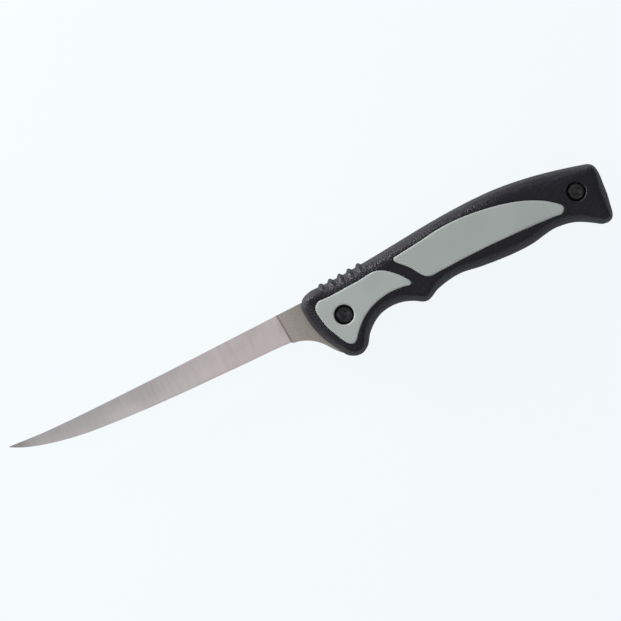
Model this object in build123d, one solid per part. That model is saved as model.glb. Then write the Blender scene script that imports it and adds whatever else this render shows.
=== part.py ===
from build123d import *
import math
import os

# A fillet knife lying on its right side. While it is modelled, x is zero at the front of the
# grip and runs to the butt, y runs to the spine, and z is zero in the middle of the steel.
# All sizes are in millimetres.

# Blade
blade_reach = 147.0            # tip to the front of the grip
blade_height = 14.0            # spine to edge where the grind ends
blade_thickness = 2.2
ricasso_length = 12.0          # unground steel in front of the grip
plunge_slant = 1.0             # the grind ends this much further back at the edge
plunge_width = 0.8             # sweep of the grind up to full thickness
heel_drop = 0.6                # the unground steel stands below the edge
edge_bevel_height = 0.9
edge_bevel_thickness = 0.5
slant_fade = 8                 # power with which the slant dies out towards the tip

# Grip
grip_length = 148.0
grip_height = 42.0
grip_thickness = 20.0
crown_width = 5.6              # rounding of the grip, seen from the side
crown_steps = 4                # flat bands that make up the rounding
tang_rim = 3.2                 # rubber around the edge of the steel
core_rim = 4.2                 # rubber around the edge of the core plates
core_plate_thickness = 6.0
pad_proud = 0.2                # pads stand this far above the rubber
pad_edge_radius = 0.8
pad_edge_steps = 1

# Ridges for the thumb
ridge_count = 5
ridge_pitch = 4.8
ridge_width = 2.8
ridge_height = 1.25
ridge_sink = 0.3               # depth at which a ridge ends under the grip's flat side
ridge_start_share = 0.082      # first ridge, as a share of the grip's length

# One ridge from front to back, as shares of its width and height
ridge_shares = [(-0.50, -0.25), (-0.33, 0.55), (-0.14, 1.00), (0.14, 1.00), (0.33, 0.55), (0.50, -0.25)]

# Fasteners
head_diameter = 7.8
head_height = 3.0
head_rim_height = 1.1          # straight side of the head below its dome
head_flat_diameter = 4.4
dome_steps = 1
counterbore_diameter = 9.1
seat_depth = 4.2               # head seat below the pad's face
socket_width = 3.0             # across the flats
socket_depth = 1.7
barrel_diameter = 5.0
barrel_clearance = 0.1         # around the barrel in its holes
barrel_end_gap = 0.8
shank_diameter = 3.2
shank_clearance = 0.1          # between shank and barrel bore
shank_end_gap = 1.2

# Places of the two fasteners, as shares of the grip's length and height
fastener_shares = [(0.108, -0.271), (0.909, -0.154)]

# The blade's stations from the plunge to the tip: the share of the ground length, the spine
# and the edge as shares of the blade's height, and the thickness as a share of the stock
station_shares = [
    (0.000, 0.107, -0.894, 1.00),
    (0.125, 0.070, -0.871, 0.96),
    (0.260, 0.032, -0.861, 0.91),
    (0.394, -0.006, -0.846, 0.85),
    (0.529, -0.034, -0.808, 0.79),
    (0.664, -0.056, -0.739, 0.72),
    (0.765, -0.065, -0.648, 0.66),
    (0.867, -0.056, -0.470, 0.59),
    (0.934, -0.024, -0.292, 0.52),
    (0.968, -0.003, -0.166, 0.46),
    (0.988, 0.007, -0.072, 0.40),
    (1.000, 0.013, -0.010, 0.32),
]
tang_spine_share = 0.150       # the spine's height where it enters the grip

# The choil from the heel to the guard's tip, as shares of the way along and down
choil_shares = [(0.14, 0.034), (0.28, 0.098), (0.42, 0.201), (0.56, 0.351), (0.70, 0.572), (0.85, 0.832)]
guard_tip_shares = (0.064, -0.660)
guard_root_shares = (0.092, -0.560)

# The grip's outline, clockwise from its front, as shares of the grip's length and height,
# and the share of an inset that is taken at each point, less where the outline turns tightly
grip_shares = [
    (0.000, 0.000, 0.80),
    (0.013, 0.066, 0.50),
    (0.039, 0.107, 0.60),
    (0.085, 0.112, 0.90),
    (0.155, 0.121, 1.00),
    (0.231, 0.142, 1.00),
    (0.537, 0.240, 1.00),
    (0.640, 0.252, 1.00),
    (0.966, 0.073, 0.62),
    (0.980, 0.059, 0.48),
    (0.997, -0.264, 0.90),
    (0.992, -0.403, 0.80),
    (0.969, -0.598, 0.50),
    (0.941, -0.587, 0.50),
    (0.929, -0.559, 0.60),
    (0.862, -0.438, 1.00),
    (0.814, -0.413, 1.00),
    (0.719, -0.461, 1.00),
    (0.553, -0.441, 1.00),
    (0.483, -0.410, 1.00),
    (0.405, -0.455, 0.85),
    (0.354, -0.522, 0.60),
    (0.321, -0.463, 0.75),
    (0.304, -0.437, 0.85),
    (0.209, -0.437, 1.00),
    (0.159, -0.560, 0.80),
    (0.128, -0.698, 0.60),
    (0.106, -0.734, 0.55),
    (0.073, -0.701, 0.55),
    (0.043, -0.556, 0.75),
    (0.017, -0.383, 0.90),
    (0.004, -0.238, 1.00),
    (-0.001, -0.097, 0.90),
]

# The two pads that show through the rubber, clockwise in the same shares
front_pad_shares = [
    (0.042, -0.052),
    (0.054, -0.025),
    (0.077, -0.025),
    (0.190, -0.008),
    (0.259, 0.001),
    (0.304, -0.110),
    (0.324, -0.191),
    (0.335, -0.277),
    (0.305, -0.276),
    (0.269, -0.269),
    (0.175, -0.361),
    (0.138, -0.462),
    (0.124, -0.516),
    (0.103, -0.592),
    (0.056, -0.407),
    (0.040, -0.241),
]
rear_pad_shares = [
    (0.321, 0.052),
    (0.334, 0.057),
    (0.417, 0.092),
    (0.467, 0.118),
    (0.613, 0.110),
    (0.790, -0.062),
    (0.822, -0.129),
    (0.852, -0.273),
    (0.841, -0.304),
    (0.819, -0.300),
    (0.473, -0.289),
    (0.428, -0.297),
    (0.395, -0.298),
    (0.352, -0.128),
]

steel_half = blade_thickness / 2
grip_half = grip_thickness / 2
pad_face = grip_half + pad_proud
core_top = steel_half + core_plate_thickness
ridge_reach = grip_half - ridge_sink
seat_level = pad_face - seat_depth
ground_length = blade_reach - ricasso_length
cut_overrun = grip_thickness


def grip_place(along_share, up_share):
    return grip_length * along_share, grip_height * up_share


grip_outline = [grip_place(along, up) for along, up, turn in grip_shares]
grip_turns = [turn for along, up, turn in grip_shares]
pad_outlines = [[grip_place(*place) for place in shares] for shares in (front_pad_shares, rear_pad_shares)]


# Closed outlines
def headings(outline):
    """The direction of travel at each point: that of the circle through it and its neighbours."""
    found = []
    for index, point in enumerate(outline):
        before = outline[index - 1]
        after = outline[(index + 1) % len(outline)]
        near = math.dist(before, point)
        far = math.dist(point, after)
        along = Vector(point[0] - before[0], point[1] - before[1]) * (far / near)
        beyond = Vector(after[0] - point[0], after[1] - point[1]) * (near / far)
        found.append((along + beyond).normalized())
    return found


def inset(outline, depth, turns=None):
    """An outline's points moved inwards, by less than the depth where it turns tightly."""
    turns = turns or [1] * len(outline)
    rows = zip(outline, headings(outline), turns)
    return [(x + depth * turn * way.Y, y - depth * turn * way.X) for (x, y), way, turn in rows]


def outline_wire(outline, level):
    """A smooth closed curve with one span between each two points."""
    ways = headings(outline)
    places = [Vector(x, y, level) for x, y in outline]
    spans = []
    for index, start in enumerate(places):
        after = (index + 1) % len(places)
        end = places[after]
        reach = (end - start).length / 3
        spans.append(Bezier(start, start + ways[index] * reach, end - ways[after] * reach, end))
    return Wire(spans)


def rounding(steps):
    """Shares across and up along a quarter circle, from its foot to its top."""
    angles = [math.pi / 2 * step / steps for step in range(steps + 1)]
    return [(1 - math.cos(angle), math.sin(angle)) for angle in angles]


def slab(outline, low, high):
    return Solid.make_loft([outline_wire(outline, low), outline_wire(outline, high)], ruled=True)


def rounded_slab(outline, low, high, radius):
    """A slab whose upper edge is rounded."""
    sections = [outline_wire(outline, low)]
    for across, up in rounding(pad_edge_steps):
        sections.append(outline_wire(inset(outline, radius * across), high - radius * (1 - up)))
    return Solid.make_loft(sections, ruled=True)


def plate(outline, low, high):
    """A straight-sided slab."""
    return Pos(0, 0, low) * extrude(make_face(Polyline(*outline, close=True)), amount=high - low)


def bore(place_shares, diameter, low, high):
    x, y = grip_place(*place_shares)
    return Pos(x, y, (low + high) / 2) * Cylinder(diameter / 2, high - low)


# Blade
def blade_section(station):
    """A wedge from the spine to a small bevel that ends in the edge."""
    along, spine_share, edge_share, thickness_share = station
    spine_x = -ricasso_length - ground_length * along
    edge_x = spine_x + plunge_slant * (1 - along) ** slant_fade
    spine_y = blade_height * spine_share
    edge_y = blade_height * edge_share
    shrink = math.sqrt((spine_share - edge_share) / (station_shares[0][1] - station_shares[0][2]))
    bevel_y = edge_y + edge_bevel_height * shrink
    bevel_x = edge_x + (spine_x - edge_x) * (bevel_y - edge_y) / (spine_y - edge_y)
    half = steel_half * thickness_share
    bevel_half = edge_bevel_thickness / 2 * thickness_share * shrink
    return Wire.make_polygon([
        (spine_x, spine_y, half),
        (bevel_x, bevel_y, bevel_half),
        (edge_x, edge_y, 0),
        (bevel_x, bevel_y, -bevel_half),
        (spine_x, spine_y, -half),
    ], close=True)


def heel_points():
    """The spine and the underside where the grind has swept up to the full stock."""
    spine_x = -ricasso_length + plunge_width
    spine_y = blade_height * station_shares[0][1]
    heel_y = blade_height * station_shares[0][2] - heel_drop
    return (spine_x, spine_y), (spine_x + plunge_slant, heel_y)


def heel_section():
    """The full stock, with as many corners as the wedge."""
    (spine_x, spine_y), (heel_x, heel_y) = heel_points()
    return Wire.make_polygon([
        (spine_x, spine_y, steel_half),
        (heel_x, heel_y, steel_half),
        (heel_x, heel_y, 0),
        (heel_x, heel_y, -steel_half),
        (spine_x, spine_y, -steel_half),
    ], close=True)


def ricasso_face():
    """The unground steel from the heel, round the choil to the guard and into the grip."""
    spine_start, heel = heel_points()
    guard_tip = grip_place(*guard_tip_shares)
    guard_root = grip_place(*guard_root_shares)
    drop_x = guard_tip[0] - heel[0]
    drop_y = guard_tip[1] - heel[1]
    choil = [(heel[0] + drop_x * along, heel[1] + drop_y * down) for along, down in choil_shares]
    spine_end = (guard_root[0], blade_height * tang_spine_share)
    return Face(Wire([
        Line(spine_start, spine_end),
        Line(spine_end, guard_root),
        Line(guard_root, guard_tip),
        Spline(guard_tip, *reversed(choil), heel),
        Line(heel, spine_start),
    ]))


def make_blade():
    ground = Solid.make_loft([blade_section(station) for station in station_shares])
    plunge = Solid.make_loft([blade_section(station_shares[0]), heel_section()], ruled=True)
    ricasso = extrude(ricasso_face(), amount=steel_half, both=True)
    tang = plate(inset(grip_outline, tang_rim, grip_turns), -steel_half, steel_half)
    steel = ricasso + tang + plunge + ground
    for place in fastener_shares:
        steel -= bore(place, barrel_diameter + 2 * barrel_clearance, -cut_overrun, cut_overrun)
    return steel


# Left half of the grip
def crown():
    """The grip's outside from the parting line up to its flat side."""
    sections = []
    for across, up in rounding(crown_steps):
        sections.append(outline_wire(inset(grip_outline, crown_width * across, grip_turns), grip_half * up))
    return Solid.make_loft(sections, ruled=True)


def upper_side(x):
    """The height of the grip's upper outline at a place along it."""
    for start, end in zip(grip_outline, grip_outline[1:]):
        if start[0] <= x <= end[0]:
            return start[1] + (end[1] - start[1]) * (x - start[0]) / (end[0] - start[0])


def ridge(x):
    """A rounded bar across the spine, which follows the crown and ends under the flat side."""
    root = upper_side(x) - crown_width
    sections = []
    for along, height in ridge_shares:
        place = x + ridge_width * along
        rise = crown_width + ridge_height * height
        bar = [(place, root + rise * (1 - across), ridge_reach * up) for across, up in rounding(crown_steps)]
        sections.append(Wire.make_polygon([(place, root, 0), *bar], close=True))
    return Solid.make_loft(sections, ruled=True)


def core_base():
    return plate(inset(grip_outline, core_rim, grip_turns), steel_half, core_top)


def cut_fastener_holes(solid):
    for place in fastener_shares:
        solid -= bore(place, counterbore_diameter, seat_level, cut_overrun)
        solid -= bore(place, barrel_diameter + 2 * barrel_clearance, -cut_overrun, cut_overrun)
    return solid


def make_core():
    """A hard plate on the tang, with two raised pads that fill the rubber's windows."""
    core = core_base()
    for outline in pad_outlines:
        core += rounded_slab(outline, core_top, pad_face, pad_edge_radius)
    return cut_fastener_holes(core)


def make_overmould(blade):
    """Rubber round the core and the steel's edge, with ridges for the thumb."""
    rubber = crown()
    for index in range(ridge_count):
        rubber += ridge(grip_length * ridge_start_share + ridge_pitch * index)
    rubber -= core_base()
    for outline in pad_outlines:
        rubber -= slab(outline, steel_half, cut_overrun)
    rubber -= blade
    return cut_fastener_holes(rubber)


# Fasteners
def socket(face_level):
    hexagon = RegularPolygon(socket_width / 2, 6, major_radius=False)
    return Pos(0, 0, face_level) * extrude(hexagon, amount=-socket_depth)


def button_head():
    """A domed head that sits on z zero, flat round its hexagonal socket."""
    radius = head_diameter / 2
    dome_width = radius - head_flat_diameter / 2
    dome_rise = head_height - head_rim_height
    dome = []
    for across, up in rounding(dome_steps):
        dome.append((radius - dome_width * across, head_rim_height + dome_rise * up))
    profile = make_face(Polyline((0, 0), (radius, 0), *dome, (0, head_height), close=True))
    return revolve(Plane.XZ * profile, Axis.Z) - socket(head_height)


def screw():
    length = 2 * seat_level - shank_end_gap
    shank = Pos(0, 0, -length / 2) * Cylinder(shank_diameter / 2, length)
    return button_head() + shank


def barrel_nut():
    length = 2 * seat_level - barrel_end_gap
    tube = Cylinder(barrel_diameter / 2, length) - Cylinder(shank_diameter / 2 + shank_clearance, length)
    return button_head() + Pos(0, 0, -length / 2) * tube


def at_fasteners(piece):
    return Compound([Pos(*grip_place(*place), 0) * piece for place in fastener_shares])


# Assembly
blade = make_blade()
left_core = make_core()
left_overmould = make_overmould(blade)
nodes = {
    "blade": blade,
    "left_core": left_core,
    "right_core": mirror(left_core, about=Plane.XY),
    "left_overmould": left_overmould,
    "right_overmould": mirror(left_overmould, about=Plane.XY),
    "handle_screws": at_fasteners(Pos(0, 0, seat_level) * screw()),
    "barrel_nuts": at_fasteners(Pos(0, 0, -seat_level) * Rot(180, 0, 0) * barrel_nut()),
}

box = Compound(list(nodes.values())).bounding_box()
to_base = Pos(-box.center().X, -box.center().Y, -box.min.Z)
os.makedirs("parts", exist_ok=True)
for name, shape in nodes.items():
    placed = to_base * shape
    export_step(placed, f"parts/{name}.step")
    size = placed.bounding_box().size
    extent = f"{size.X:.1f} x {size.Y:.1f} x {size.Z:.1f}"
    print(f"{name}: {len(placed.solids())} solids, {placed.volume:.0f} mm3, {extent}")
print(f"whole knife: {box.size.X:.1f} x {box.size.Y:.1f} x {box.size.Z:.1f}, moved by {to_base.position}")
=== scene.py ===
import math

import bmesh
import bpy
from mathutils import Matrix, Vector
from mathutils.kdtree import KDTree


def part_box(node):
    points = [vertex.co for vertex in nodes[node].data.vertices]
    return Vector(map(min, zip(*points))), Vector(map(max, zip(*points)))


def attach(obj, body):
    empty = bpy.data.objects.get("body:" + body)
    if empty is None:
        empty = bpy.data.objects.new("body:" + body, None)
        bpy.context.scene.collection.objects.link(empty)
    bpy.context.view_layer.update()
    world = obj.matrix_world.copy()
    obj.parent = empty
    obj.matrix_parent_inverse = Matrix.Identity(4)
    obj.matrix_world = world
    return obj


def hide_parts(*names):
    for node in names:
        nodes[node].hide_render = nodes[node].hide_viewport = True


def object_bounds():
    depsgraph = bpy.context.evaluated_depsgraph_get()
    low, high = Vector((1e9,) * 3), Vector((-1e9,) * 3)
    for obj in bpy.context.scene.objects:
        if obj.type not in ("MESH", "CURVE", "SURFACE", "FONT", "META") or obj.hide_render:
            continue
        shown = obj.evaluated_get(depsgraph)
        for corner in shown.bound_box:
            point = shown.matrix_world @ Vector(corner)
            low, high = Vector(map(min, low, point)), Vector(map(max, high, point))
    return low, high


mm = 0.001

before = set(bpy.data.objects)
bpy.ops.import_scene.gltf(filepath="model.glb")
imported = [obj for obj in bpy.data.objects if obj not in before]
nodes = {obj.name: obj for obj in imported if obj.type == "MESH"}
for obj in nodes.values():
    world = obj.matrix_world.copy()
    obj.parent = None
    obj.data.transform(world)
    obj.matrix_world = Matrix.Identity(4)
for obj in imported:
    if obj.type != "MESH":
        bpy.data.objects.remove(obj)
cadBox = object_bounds()
print("frame loaded")


# Shader maths: Python expressions on values add Math nodes
class Value:
    def __init__(self, shader, socket):
        self.shader = shader
        self.socket = socket

    def maths(self, operation, first, second):
        return self.shader.node("Math", {"operation": operation}, {0: first, 1: second})

    def __add__(self, other):
        return self.maths("ADD", self, other)

    def __radd__(self, other):
        return self.maths("ADD", other, self)

    def __sub__(self, other):
        return self.maths("SUBTRACT", self, other)

    def __rsub__(self, other):
        return self.maths("SUBTRACT", other, self)

    def __mul__(self, other):
        return self.maths("MULTIPLY", self, other)

    def __rmul__(self, other):
        return self.maths("MULTIPLY", other, self)


class Shader:
    def __init__(self, name):
        self.material = bpy.data.materials.new(name)
        self.material.use_nodes = True
        self.tree = self.material.node_tree
        self.tree.nodes.clear()

    def node(self, kind, settings, sockets, output=0):
        made = self.tree.nodes.new("ShaderNode" + kind)
        for name, value in settings.items():
            setattr(made, name, value)
        for name, value in sockets.items():
            if isinstance(value, Value):
                self.tree.links.new(value.socket, made.inputs[name])
            else:
                made.inputs[name].default_value = value
        return Value(self, made.outputs[output]) if made.outputs else None

    def place(self, stretch=(1, 1, 1)):
        here = self.node("TexCoord", {}, {}, output="Object")
        return self.node("Mapping", {}, {"Vector": here, "Scale": stretch})

    def noise(self, where, scale, detail=3.0, roughness=0.5):
        sockets = {"Vector": where, "Scale": scale, "Detail": detail, "Roughness": roughness}
        return self.node("TexNoise", {}, sockets)

    def axis(self, name):
        here = self.node("TexCoord", {}, {}, output="Object")
        return self.node("SeparateXYZ", {}, {0: here}, output=name)

    # Goes smoothly from out[0] to out[1] as the value goes from low to high
    def steps(self, value, low, high, out=(0.0, 1.0)):
        sockets = {"Value": value, "From Min": low, "From Max": high,
                   "To Min": out[0], "To Max": out[1]}
        return self.node("MapRange", {"interpolation_type": "SMOOTHSTEP"}, sockets)

    def blend(self, factor, first, second):
        sockets = {0: factor, 6: first, 7: second}    # 6 and 7 are the node's two colours
        for name in (6, 7):
            if isinstance(sockets[name], tuple):
                sockets[name] = (*sockets[name], 1)
        return self.node("Mix", {"data_type": "RGBA"}, sockets, output=2)

    # 1 where the surface lies flat, 0 where it stands upright
    def lying(self):
        normal = self.node("NewGeometry", {}, {}, output="Normal")
        up = self.node("SeparateXYZ", {}, {0: normal}, output="Z")
        return up * up

    def bump(self, height, strength, distance):
        sockets = {"Strength": strength, "Distance": distance, "Height": height}
        return self.node("Bump", {}, sockets)

    def finish(self, sockets):
        surface = self.node("BsdfPrincipled", {}, sockets)
        self.node("OutputMaterial", {}, {"Surface": surface})
        return self.material


# Tools for the pieces
def selectOnly(piece):
    bpy.ops.object.select_all(action="DESELECT")
    piece.select_set(True)
    bpy.context.view_layer.objects.active = piece


def applied(piece, kind, **settings):
    selectOnly(piece)
    modifier = piece.modifiers.new(kind, kind)
    for name, value in settings.items():
        setattr(modifier, name, value)
    bpy.ops.object.modifier_apply(modifier=modifier.name)


def mergedCopy(nodeName, pieceName):
    piece = bpy.data.objects.new(pieceName, nodes[nodeName].data.copy())
    bpy.context.scene.collection.objects.link(piece)
    selectOnly(piece)
    bpy.ops.object.mode_set(mode="EDIT")
    bpy.ops.mesh.select_all(action="SELECT")
    bpy.ops.mesh.remove_doubles(threshold=0.001 * mm)
    bpy.ops.object.mode_set(mode="OBJECT")
    return piece


# Makes a tree whose find gives the nearest of the places and how far it is
def nearestOf(places):
    tree = KDTree(len(places))
    for index, place in enumerate(places):
        tree.insert(place, index)
    tree.balance()
    return tree


def standFor(piece, material, slotName, *nodeNames):
    piece.data.materials.clear()
    piece.data.materials.append(material)
    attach(piece, "root")
    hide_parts(*nodeNames)


# Blade. Steps are where in a pattern a mark starts and where it is full
bladeLook = {
    # painted reflection: the ground sides are painted darker towards the tip and paler towards the
    # edge, for how the light falls along and across the blade
    "flats": (0.835, 0.760, 0.757),          # the ground sides, next to the plunge line
    "tipFlats": (0.688, 0.659, 0.668),
    "fade": (-118 * mm, -16 * mm),           # along the blade, from the front of the grip
    "edgeFlats": (0.936, 0.872, 0.848),
    "acrossFade": (9 * mm, -1 * mm),         # from the spine to the edge
    "edgeShare": 0.45,                       # how far the colour turns to the edge's
    "scratch": (0.235, 0.212, 0.200),        # shows in clouds and in streaks, and as painted shade on the edge's bevel
    "clouds": 0.10,
    "cloudScale": (40, 70, 40),
    "cloudSteps": (0.62, 0.38),
    "streaks": 0.13,
    "streakScale": (2600, 90, 300),
    "broadScale": (500, 25, 60),
    "streakShare": 0.7,                      # of the marks, and the rest is broad
    "streakSteps": (0.62, 0.34),
    "bevelShade": 0.30,
    "bevelSteps": (0.985, 0.95),             # how flat the surface lies
    "ricassoStart": (0.653, 0.604, 0.557),   # the unground steel, next to the plunge line
    "ricasso": (0.568, 0.525, 0.480),
    "ricassoFade": (-9 * mm, -4 * mm),
    "speckles": (0.380, 0.355, 0.327),
    "speckleShare": 0.6,
    "speckleScale": 2100,
    "speckleSteps": (0.62, 0.38),
    "speckleHeight": 0.8,                    # against the height of the marks
    # painted shade along the plunge ramp, darkened where the ramp would catch the light
    "plungeLine": (0.450, 0.415, 0.390),
    "plungeAt": -11.12 * mm,       # where the grind starts to sweep up, from the front of the grip
    "plungeWidth": 1.0 * mm,
    "plungeSoftness": 0.1 * mm,
    "plungeSlant": 0.071,          # the plunge line leans back this much for each length down
    "roughness": (0.33, 0.43),
    "roughSteps": (0.35, 0.65),
    "ricassoRoughness": 0.50,
    "plungeRoughness": 0.55,
    "bump": 0.10,
    "bumpDepth": 0.03 * mm,
    "edgeRounding": 0.09 * mm,
    "flatWithin": 0.2,             # degrees between faces, as in the next two
    "roundedFrom": 40,
    "sharpFrom": 10,
}


def bladeFinish(gripFront):
    look = bladeLook
    shader = Shader("bladeSteel")
    streak = shader.noise(shader.place(look["streakScale"]), 1.0, detail=4.0, roughness=0.65)
    broad = shader.noise(shader.place(look["broadScale"]), 1.0, detail=2.0)
    clouds = shader.noise(shader.place(look["cloudScale"]), 1.0, detail=2.0)
    speckle = shader.noise(shader.place(), look["speckleScale"], roughness=0.7)
    marks = streak * look["streakShare"] + broad * (1 - look["streakShare"])

    along = shader.axis("X") - gripFront
    slanted = along + shader.axis("Y") * look["plungeSlant"]
    start = look["plungeAt"]
    end = start + look["plungeWidth"]
    softness = look["plungeSoftness"]
    unground = shader.steps(slanted, end - softness, end + softness)
    line = shader.steps(slanted, start - softness, start) - unground

    # painted reflection: the ground sides darken towards the tip and pale towards the edge
    fade = shader.steps(along, *look["fade"])
    ground = shader.blend(fade, look["tipFlats"], look["flats"])
    across = shader.steps(shader.axis("Y"), *look["acrossFade"])
    ground = shader.blend(across * look["edgeShare"], ground, look["edgeFlats"])
    worn = shader.steps(clouds, *look["cloudSteps"]) * look["clouds"]
    worn = worn + shader.steps(marks, *look["streakSteps"]) * look["streaks"]
    # painted shade: the bevels and rounded edges, where the surface tilts, are painted darker
    worn = worn + shader.steps(shader.lying(), *look["bevelSteps"]) * look["bevelShade"]
    ground = shader.blend(worn, ground, look["scratch"])

    fade = shader.steps(along, *look["ricassoFade"])
    plain = shader.blend(fade, look["ricassoStart"], look["ricasso"])
    spots = shader.steps(speckle, *look["speckleSteps"]) * look["speckleShare"]
    sanded = shader.blend(spots, plain, look["speckles"])
    colour = shader.blend(unground, ground, sanded)
    # painted shade along the plunge ramp
    colour = shader.blend(line, colour, look["plungeLine"])

    rough = shader.steps(marks, *look["roughSteps"], look["roughness"])
    rough = rough + unground * (look["ricassoRoughness"] - rough)
    rough = rough + line * (look["plungeRoughness"] - rough)
    height = marks * (1 - unground) + speckle * unground * look["speckleHeight"]
    return shader.finish({
        "Base Color": colour,
        "Metallic": 1.0,
        "Roughness": rough,
        "Normal": shader.bump(height, look["bump"], look["bumpDepth"]),
    })


def makeBlade(gripFront):
    blade = mergedCopy("blade", "bladeSteel")
    selectOnly(blade)
    bpy.ops.object.mode_set(mode="EDIT")
    bpy.ops.mesh.select_all(action="SELECT")
    bpy.ops.mesh.dissolve_limited(angle_limit=math.radians(bladeLook["flatWithin"]))
    bpy.ops.object.mode_set(mode="OBJECT")
    applied(blade, "BEVEL", width=bladeLook["edgeRounding"], segments=2, limit_method="ANGLE",
            angle_limit=math.radians(bladeLook["roundedFrom"]))
    selectOnly(blade)
    bpy.ops.object.shade_smooth_by_angle(angle=math.radians(bladeLook["sharpFrom"]))
    standFor(blade, bladeFinish(gripFront), "blade_steel", "blade")
    flagSteel(blade)


# Rubber halves of the grip
rubberLook = {
    "colour": (0.0030, 0.0026, 0.0066),
    "pebbleTops": (0.011, 0.010, 0.016),
    "topSteps": (0.55, 1.15),      # height where a pebble's top starts and is full
    "topShare": 0.3,               # of the tops' colour, and the patches add to it
    "sideColour": (0.036, 0.035, 0.038),   # painted sheen: paler where the surface stands upright
    "sideSteps": (0.5, 0.05),      # how flat the surface lies
    "sideShare": 0.5,              # of the painted sheen's colour, and the tops add to it
    "sideTopShare": 0.7,
    "roughness": (0.35, 0.47),
    "roughSteps": (0.38, 0.62),
    "sideRoughness": 0.75,
    "specular": 0.28,
    "patchScale": 110,
    "patchShare": 0.6,             # of the roughness, and the rest is the fine grain's
    "grain": 0.85 * mm,            # size of one pebble
    "grainDepth": 0.16 * mm,
    "pebbleHeight": 1.3,
    "fineScale": 3.0,              # grains across one pebble
    "fineHeight": 0.45,
    "voxel": 0.26 * mm,
    "softening": 11,               # passes over the whole half
    "crownSoftening": 45,          # passes over the rounded sides alone
    "kept": 0.48,                  # share of the triangles
    "ridgeZone": (9.5 * mm, 34.5 * mm),   # along the grip, from its front
    "ridgeRoot": 9.0 * mm,         # the ridges are above this height across the knife
    "wallsAbove": 7.3 * mm,        # the windows' walls start this far from the seam
    "wallsLean": 0.45,             # the most that a wall faces up or down
    "windowMargin": (0.7 * mm, 2.2 * mm),
    "seamMargin": (0.4 * mm, 1.6 * mm),
    "sidesLean": (0.35, 0.80),     # the sides fade out as they turn to face up or down
    "swell": 0.17 * mm,            # gives back what the softening takes off the sides
    "leastSwell": 0.001 * mm,
    "leastWeight": 0.01,
}


def rubberFinish():
    look = rubberLook
    shader = Shader("gripRubber")
    sockets = {"Vector": shader.place(), "Scale": 1 / look["grain"],
               "Smoothness": 0.5, "Randomness": 0.9}
    pebble = shader.node("TexVoronoi", {"feature": "SMOOTH_F1"}, sockets)
    fine = shader.noise(shader.place(), look["fineScale"] / look["grain"], roughness=0.6)
    patches = shader.noise(shader.place(), look["patchScale"])
    height = 1 - pebble * look["pebbleHeight"] + fine * look["fineHeight"]
    tops = shader.steps(height, *look["topSteps"])
    upright = shader.steps(shader.lying(), *look["sideSteps"])
    mottle = patches * look["patchShare"] + fine * (1 - look["patchShare"])
    rough = shader.steps(mottle, *look["roughSteps"], look["roughness"])
    rough = rough + upright * (look["sideRoughness"] - rough)
    face = shader.blend(tops * (look["topShare"] + patches), look["colour"], look["pebbleTops"])
    # painted sheen: a paler colour where the surface stands upright
    side = upright * (look["sideShare"] + tops * look["sideTopShare"])
    return shader.finish({
        "Base Color": shader.blend(side, face, look["sideColour"]),
        "Roughness": rough,
        "Specular IOR Level": look["specular"],
        "Normal": shader.bump(height, 1.0, look["grainDepth"]),
    })


def eased(value, low, high):
    share = min(1, max(0, (value - low) / (high - low)))
    return share * share * (3 - 2 * share)


# Tells how far a point is from the walls of the windows
def windowWalls(rubber, seam):
    return nearestOf([point.co for point in rubber.data.vertices
                      if abs(point.co.z - seam) > rubberLook["wallsAbove"]
                      and abs(point.normal.z) < rubberLook["wallsLean"]])


# Marks the rounded sides, away from the windows, the seam and the ridges
def markCrown(rubber, walls, seam, gripFront):
    crown = rubber.vertex_groups.new(name="crown")
    ridgeFrom, ridgeTo = (gripFront + edge for edge in rubberLook["ridgeZone"])
    for point in rubber.data.vertices:
        if ridgeFrom < point.co.x < ridgeTo and point.co.y > rubberLook["ridgeRoot"]:
            continue
        weight = eased(walls.find(point.co)[2], *rubberLook["windowMargin"])
        weight *= eased(abs(point.co.z - seam), *rubberLook["seamMargin"])
        if weight > rubberLook["leastWeight"]:
            crown.add([point.index], weight, "REPLACE")


# Tells how far a point can move along its normal inside the knife's box
def roomToSwell(point):
    low, high = cadBox
    rooms = []
    for axis in (0, 1):
        normal = point.normal[axis]
        edge = high[axis] if normal > 0 else low[axis]
        rooms.append((edge - point.co[axis]) / (normal or 0.001))    # 0 can't divide it
    return max(rubberLook["leastSwell"], min(rooms))


# Marks what faces sideways, away from the windows
def markSides(rubber, walls):
    sides = rubber.vertex_groups.new(name="sides")
    for point in rubber.data.vertices:
        weight = 1 - eased(abs(point.normal.z), *rubberLook["sidesLean"])
        if weight > rubberLook["leastWeight"]:
            weight *= eased(walls.find(point.co)[2], *rubberLook["windowMargin"])
            limit = roomToSwell(point) / rubberLook["swell"]
            weight *= limit / (weight ** 4 + limit ** 4) ** 0.25    # bends over to stay under it
            sides.add([point.index], weight, "REPLACE")


def makeRubber(gripFront, seam):
    finish = rubberFinish()
    for side in ("left", "right"):
        rubber = mergedCopy(side + "_overmould", side + "GripRubber")
        applied(rubber, "REMESH", mode="VOXEL", voxel_size=rubberLook["voxel"],
                use_smooth_shade=True)
        applied(rubber, "SMOOTH", factor=0.5, iterations=rubberLook["softening"])
        walls = windowWalls(rubber, seam)
        markCrown(rubber, walls, seam, gripFront)
        applied(rubber, "SMOOTH", factor=0.5, iterations=rubberLook["crownSoftening"],
                vertex_group="crown")
        markSides(rubber, walls)
        applied(rubber, "DISPLACE", strength=rubberLook["swell"], mid_level=0,
                vertex_group="sides")
        applied(rubber, "DECIMATE", ratio=rubberLook["kept"])
        standFor(rubber, finish, "grip_rubber", side + "_overmould")
        print(side, "rubber", len(rubber.data.polygons))


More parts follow.
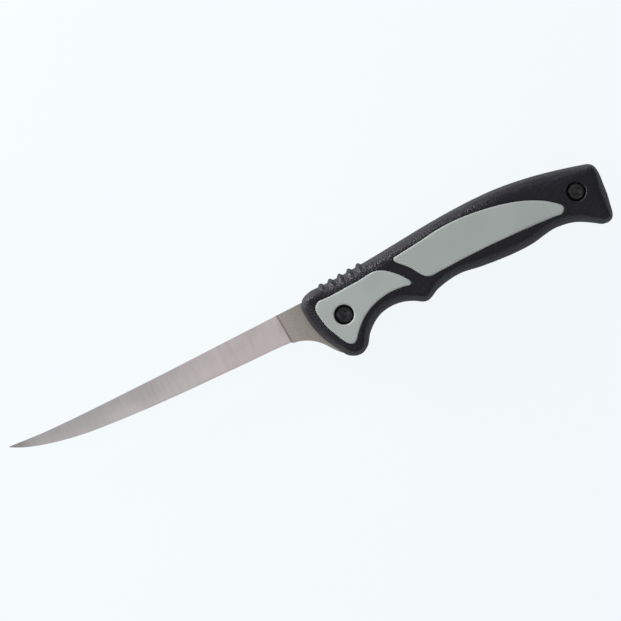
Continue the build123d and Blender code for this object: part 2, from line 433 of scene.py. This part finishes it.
# Pads, raised from the hard core inside each half
padLook = {
    "colour": (0.318, 0.348, 0.335),
    "mottle": (0.300, 0.330, 0.315),
    "mottleScale": 60,
    "mottleSteps": (0.35, 0.65),
    # painted shade on the pads' rounded edges, darker where they tilt
    "rim": (0.245, 0.268, 0.258),
    "rimSteps": (0.94, 0.60),          # how flat the surface lies
    "seat": (0.010, 0.010, 0.011),     # painted shadow in the gap round each screw head, in the counterbores
    "seatRadius": 4.40 * mm,
    "seatSoftness": 0.15 * mm,
    "roughness": (0.40, 0.50),
    "roughSteps": (0.4, 0.6),
    "grainScale": 2400,
    "bump": 0.2,
    "bumpDepth": 0.02 * mm,
    "voxel": 0.27 * mm,
    "smoothing": 7,
    "kept": 0.62,                      # share of the triangles
    "solidBevel": 0.8 * mm,            # round the pads in the solid
    "tightened": 0.70,                 # share of it that is taken up
    "borderReach": 3,                  # widths of that bevel
    "levelWithin": 0.01 * mm,
    "leastLean": 0.05,
}


def padFinish():
    look = padLook
    shader = Shader("padPolymer")
    cloud = shader.noise(shader.place(), look["mottleScale"])
    fine = shader.noise(shader.place(), look["grainScale"])
    mottled = shader.steps(cloud, *look["mottleSteps"])
    face = shader.blend(mottled, look["colour"], look["mottle"])
    # painted shade on the pads' rounded edges
    rim = shader.steps(shader.lying(), *look["rimSteps"])
    withRimShade = shader.blend(rim, face, look["rim"])
    # painted shadow: near black within the counterbores round the screw heads
    x, y = shader.axis("X"), shader.axis("Y")
    squares = [(x - across) * (x - across) + (y - up) * (y - up)
               for across, up in screwPlaces().values()]
    nearest = shader.node("Math", {"operation": "MINIMUM"}, {0: squares[0], 1: squares[1]})
    inside = look["seatRadius"] - look["seatSoftness"]
    boreShadow = shader.steps(nearest, look["seatRadius"] ** 2, inside ** 2)
    grain = cloud * 0.5 + fine * 0.5
    return shader.finish({
        "Base Color": shader.blend(boreShadow, withRimShade, look["seat"]),
        "Roughness": shader.steps(grain, *look["roughSteps"], look["roughness"]),
        "Normal": shader.bump(fine, look["bump"], look["bumpDepth"]),
    })


# Makes the solid's wide bevel round each pad a tight edge
def tightenEdges(core, seam):
    bevel = padLook["solidBevel"]
    reach = bevel * padLook["tightened"]
    points = core.data.vertices
    heights = [abs(point.co.z - seam) for point in points]
    face = max(heights)
    border = [point for point, height in zip(points, heights)
              if abs(face - height - bevel) < padLook["levelWithin"]]
    nearest = nearestOf([point.co for point in border])
    moves = []
    for point, height in zip(points, heights):
        outwards = Vector((point.normal.x, point.normal.y, 0))
        onFace = face - height < padLook["levelWithin"]
        atEdge = nearest.find(point.co)[2] < padLook["borderReach"] * bevel
        if onFace and atEdge and outwards.length > padLook["leastLean"]:
            moves.append((point, outwards.normalized() * reach))
    for point in border:
        moves.append((point, Vector((0, 0, math.copysign(reach, point.co.z - seam)))))
    for point, move in moves:
        point.co += move


def makePads(seam):
    finish = padFinish()
    for side in ("left", "right"):
        core = mergedCopy(side + "_core", side + "PadCore")
        tightenEdges(core, seam)
        applied(core, "REMESH", mode="VOXEL", voxel_size=padLook["voxel"], use_smooth_shade=True)
        applied(core, "SMOOTH", factor=0.5, iterations=padLook["smoothing"])
        applied(core, "DECIMATE", ratio=padLook["kept"])
        standFor(core, finish, "pad_polymer", side + "_core")
        print(side, "core", len(core.data.polygons))


# Screws and barrel nuts with domed socket heads
screwLook = {
    "colour": (0.006, 0.006, 0.009),
    # painted highlights: paler patches on the dark heads
    "worn": (0.038, 0.038, 0.043),
    "wearScale": 430,
    "wearSteps": (0.50, 0.68),
    "roughness": (0.20, 0.32),
    "roughSteps": (0.4, 0.6),
    "specular": 0.40,
    "grainScale": 1500,
    "bump": 0.1,
    "bumpDepth": 0.02 * mm,
    "headRadius": 3.9 * mm,
    "headHeight": 3.0 * mm,
    "headSides": 64,
    "domeRise": 1.1 * mm,
    "domeBands": 8,
    "socketAcross": 3.2 * mm,      # between two of its flats
    "socketDepth": 1.7 * mm,
    "edgeRounding": 0.28 * mm,
    "roundedFrom": 50,             # degrees between faces, as in the next
    "sharpFrom": 35,
    "shankRadius": 1.6 * mm,
    "shankLength": 10.8 * mm,
    "barrelRadius": 2.5 * mm,
    "barrelLength": 11.2 * mm,
}


def screwFinish():
    look = screwLook
    shader = Shader("blackFastener")
    fine = shader.noise(shader.place(), look["grainScale"])
    highlightNoise = shader.noise(shader.place(), look["wearScale"], detail=2.0)
    # painted highlights: paler patches on the heads
    worn = shader.steps(highlightNoise, *look["wearSteps"])
    return shader.finish({
        "Base Color": shader.blend(worn, look["colour"], look["worn"]),
        "Specular IOR Level": look["specular"],
        "Roughness": shader.steps(fine, *look["roughSteps"], look["roughness"]),
        "Normal": shader.bump(fine, look["bump"], look["bumpDepth"]),
    })


def pickFaces(piece, wanted):
    mesh = bmesh.from_edit_mesh(piece.data)
    for face in mesh.faces:
        face.select = wanted(face)
    mesh.select_flush(True)
    mesh.select_flush(False)
    bmesh.update_edit_mesh(piece.data)


def domedHead(pieceName, stemRadius, stemLength):
    radius = screwLook["headRadius"]
    height = screwLook["headHeight"]
    bpy.ops.object.select_all(action="DESELECT")
    bpy.ops.mesh.primitive_cylinder_add(vertices=screwLook["headSides"], radius=radius,
                                        depth=height, location=(0, 0, height / 2))
    head = bpy.context.object
    head.name = pieceName
    bpy.ops.object.transform_apply(location=True, rotation=True, scale=True)
    bpy.ops.object.mode_set(mode="EDIT")
    bpy.ops.mesh.select_mode(type="FACE")
    pickFaces(head, lambda face: face.normal.z < -0.9)
    bpy.ops.mesh.inset(thickness=radius - stemRadius, depth=0)
    bpy.ops.mesh.extrude_region_move(TRANSFORM_OT_translate={"value": (0, 0, -stemLength)})
    pickFaces(head, lambda face: face.normal.z > 0.9
              and face.calc_center_median().z > height * 0.9)
    bpy.ops.mesh.region_to_loop()
    bpy.ops.mesh.bevel(offset=screwLook["domeRise"], segments=screwLook["domeBands"],
                       affect="EDGES")
    bpy.ops.object.mode_set(mode="OBJECT")

    across = screwLook["socketAcross"] / math.cos(math.radians(30))    # between two corners
    bpy.ops.object.select_all(action="DESELECT")
    bpy.ops.mesh.primitive_cylinder_add(vertices=6, radius=across / 2,
                                        depth=2 * screwLook["socketDepth"],
                                        location=(0, 0, height))
    key = bpy.context.object
    applied(head, "BOOLEAN", operation="DIFFERENCE", solver="EXACT", object=key)
    bpy.data.objects.remove(key)
    applied(head, "BEVEL", width=screwLook["edgeRounding"], segments=3, limit_method="ANGLE",
            angle_limit=math.radians(screwLook["roundedFrom"]))
    selectOnly(head)
    bpy.ops.object.shade_smooth_by_angle(angle=math.radians(screwLook["sharpFrom"]))
    return head


def screwPlaces():
    low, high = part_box("handle_screws")
    radius = screwLook["headRadius"]
    return {"Front": (low.x + radius, low.y + radius), "Rear": (high.x - radius, high.y - radius)}


def seated(head, nodeName, where, outwards):
    piece = bpy.data.objects.new(head.name + where, head.data.copy())
    bpy.context.scene.collection.objects.link(piece)
    low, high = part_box(nodeName)
    if outwards > 0:
        seat = high.z - screwLook["headHeight"]
    else:
        seat = low.z + screwLook["headHeight"]
        piece.rotation_euler.x = math.pi
    piece.location = (*screwPlaces()[where], seat)
    selectOnly(piece)
    bpy.ops.object.transform_apply(location=True, rotation=True, scale=True)
    return piece


def makeFasteners():
    finish = screwFinish()
    kinds = (
        ("handleScrew", "handle_screws", screwLook["shankRadius"], screwLook["shankLength"], 1),
        ("barrelNut", "barrel_nuts", screwLook["barrelRadius"], screwLook["barrelLength"], -1),
    )
    for name, nodeName, stemRadius, stemLength, outwards in kinds:
        head = domedHead(name, stemRadius, stemLength)
        for where in ("Front", "Rear"):
            piece = seated(head, nodeName, where, outwards)
            standFor(piece, finish, "black_fastener", nodeName)
        bpy.data.objects.remove(head)


# Floor, light and camera
studio = {
    "background": (0.921, 0.965, 0.991),
    "worldLevel": 0.50,
    "floorSize": 30,
    "floorGlow": 0.96,             # share of the floor that shows its plain colour
    "glowLevel": 0.985,
    "viewTurn": 25.6,              # degrees that the butt end is turned up in the picture
    "aim": (2.63 * mm, 7.00 * mm),
    "frameWidth": 282.0 * mm,      # width of the picture at the middle of the grip
    "lens": 200.0,
    "sensor": 36.0,
    "clip": (0.05, 50),
    "gripMiddle": 10.0 * mm,
    # azimuth is in degrees from +Y towards -X
    "spinePanel": {"azimuth": 30, "away": 0.6, "height": 0.13, "size": (0.5, 0.2), "power": 7.2},
    "tipPanel": {"azimuth": 60, "away": 0.6, "height": 0.40, "size": (0.6, 0.3), "power": 2.8},
    "fillSoftbox": {"azimuth": 200, "away": 0.8, "height": 1.4, "size": (0.8, 0.8), "power": 1.5},
}


def floorFinish():
    shader = Shader("paleFloor")
    colour = (*studio["background"], 1)
    lit = shader.node("BsdfDiffuse", {}, {"Color": colour})
    plain = shader.node("Emission", {}, {"Color": colour, "Strength": studio["glowLevel"]})
    seen = 0.0
    for ray in ("Is Camera Ray", "Is Glossy Ray", "Is Transmission Ray"):
        seen = seen + shader.node("LightPath", {}, {}, output=ray)
    surface = shader.node("MixShader", {}, {0: seen * studio["floorGlow"], 1: lit, 2: plain})
    shader.node("OutputMaterial", {}, {"Surface": surface})
    return shader.material


def makeFloor():
    bpy.ops.object.select_all(action="DESELECT")
    bpy.ops.mesh.primitive_plane_add(size=studio["floorSize"], location=(0, 0, 0))
    floor = bpy.context.object
    floor.name = "floor"
    floor.data.materials.append(floorFinish())


def makeLight(name):
    look = studio[name]
    azimuth = math.radians(look["azimuth"])
    light = bpy.data.lights.new(name, "AREA")
    light.shape = "RECTANGLE"
    light.size, light.size_y = look["size"]
    light.energy = look["power"]
    lamp = bpy.data.objects.new(name, light)
    bpy.context.scene.collection.objects.link(lamp)
    away = look["away"]
    lamp.location = Vector((-away * math.sin(azimuth), away * math.cos(azimuth), look["height"]))
    lamp.rotation_euler = (-lamp.location).to_track_quat("-Z", "Y").to_euler()


def makeStudio():
    scene = bpy.context.scene
    scene.view_settings.view_transform = "Standard"
    world = bpy.data.worlds.new("studio")
    scene.world = world
    world.use_nodes = True
    background = world.node_tree.nodes["Background"]
    background.inputs["Color"].default_value = (1, 1, 1, 1)
    background.inputs["Strength"].default_value = studio["worldLevel"]
    for name in ("spinePanel", "tipPanel", "fillSoftbox"):
        makeLight(name)


def makeCamera():
    lens = bpy.data.cameras.new("camera")
    lens.lens = studio["lens"]
    lens.sensor_width = studio["sensor"]
    lens.clip_start, lens.clip_end = studio["clip"]
    distance = studio["frameWidth"] * studio["lens"] / studio["sensor"]
    camera = bpy.data.objects.new("camera", lens)
    bpy.context.scene.collection.objects.link(camera)
    camera.location = (*studio["aim"], studio["gripMiddle"] + distance)
    camera.rotation_euler = (0, 0, -math.radians(studio["viewTurn"]))
    bpy.context.scene.camera = camera


# Keeps the low panels' glare off the steel, as a flag does in a studio
def flagSteel(blade):
    flagged = bpy.data.collections.new("flagged")
    flagged.objects.link(blade)
    for name in ("spinePanel", "tipPanel"):
        bpy.data.objects[name].light_linking.receiver_collection = flagged
    flagged.collection_objects[0].light_linking.link_state = "EXCLUDE"


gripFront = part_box("left_overmould")[0].x
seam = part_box("left_overmould")[0].z    # height where the halves meet
makeStudio()
makeCamera()
makeFloor()
print("studio ready")
makeBlade(gripFront)
print("blade ready")
makeRubber(gripFront, seam)
makePads(seam)
makeFasteners()
print("grip ready")
